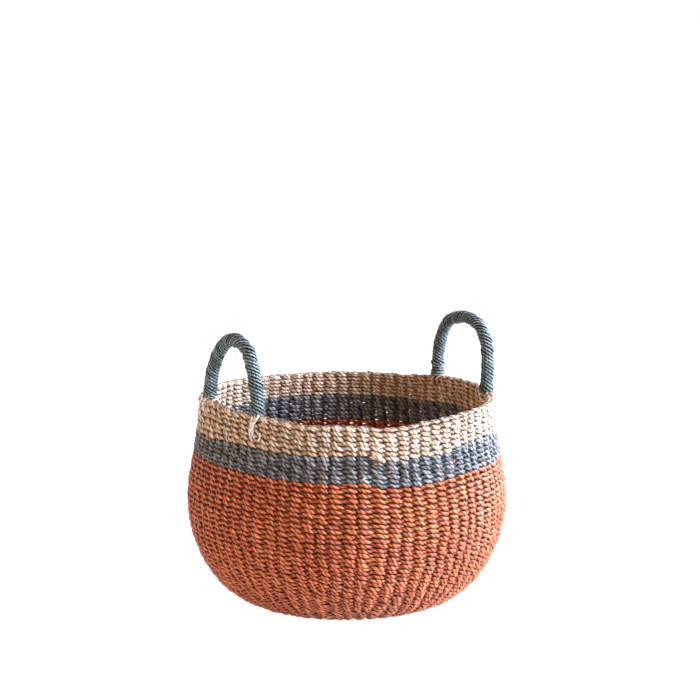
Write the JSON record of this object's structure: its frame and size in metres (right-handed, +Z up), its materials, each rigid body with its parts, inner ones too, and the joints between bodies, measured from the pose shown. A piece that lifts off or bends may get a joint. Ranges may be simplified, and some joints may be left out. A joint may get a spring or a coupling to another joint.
{
  "type": "woven basket",
  "caption": "Round twined abaca basket with rust, slate and natural bands and two wrapped rope handles that tilt on their lashings.",
  "frame": {"origin": "middle of the flat underside, on the surface that the basket stands on", "axes": "+Z up through the mouth, the two handles near the ends of the X axis and turned 3.6 degrees from it to the front, +Y towards the back"},
  "size_m": [0.3506, 0.3506, 0.3155],
  "materials": {
    "rust_abaca": "dyed two-ply abaca twine, matt with a slight fibre sheen",
    "slate_abaca": "dyed two-ply abaca twine, matt with a slight fibre sheen",
    "natural_abaca": "undyed abaca twine, matt with a slight fibre sheen",
    "blue_grey_twine": "fine blue-grey paper-like twine, matt"
  },
  "bodies": {
    "basket": {"base_weave": "rust_abaca", "rust_wall": "rust_abaca", "slate_band": "slate_abaca", "natural_band": "natural_abaca", "rim_border": "natural_abaca", "left_front_lashing": "natural_abaca", "left_rear_lashing": "natural_abaca", "right_front_lashing": "natural_abaca", "right_rear_lashing": "natural_abaca"},
    "left_handle": {"left_handle_core": "natural_abaca", "left_handle_winding": "blue_grey_twine"},
    "right_handle": {"right_handle_core": "natural_abaca", "right_handle_winding": "blue_grey_twine", "right_rear_whipping": "blue_grey_twine"}
  },
  "joints": [
    {"name": "left_handle_tilt", "type": "hinge", "parent": "basket", "child": "left_handle", "pos_m": [-0.15122, -0.00951, 0.2304], "axis": [0.0628, -0.998, 0], "range_deg": [-35, 45]},
    {"name": "right_handle_tilt", "type": "hinge", "parent": "basket", "child": "right_handle", "pos_m": [0.14872, -0.00936, 0.2304], "axis": [0.0628, 0.998, 0], "range_deg": [-35, 45]}
  ]
}
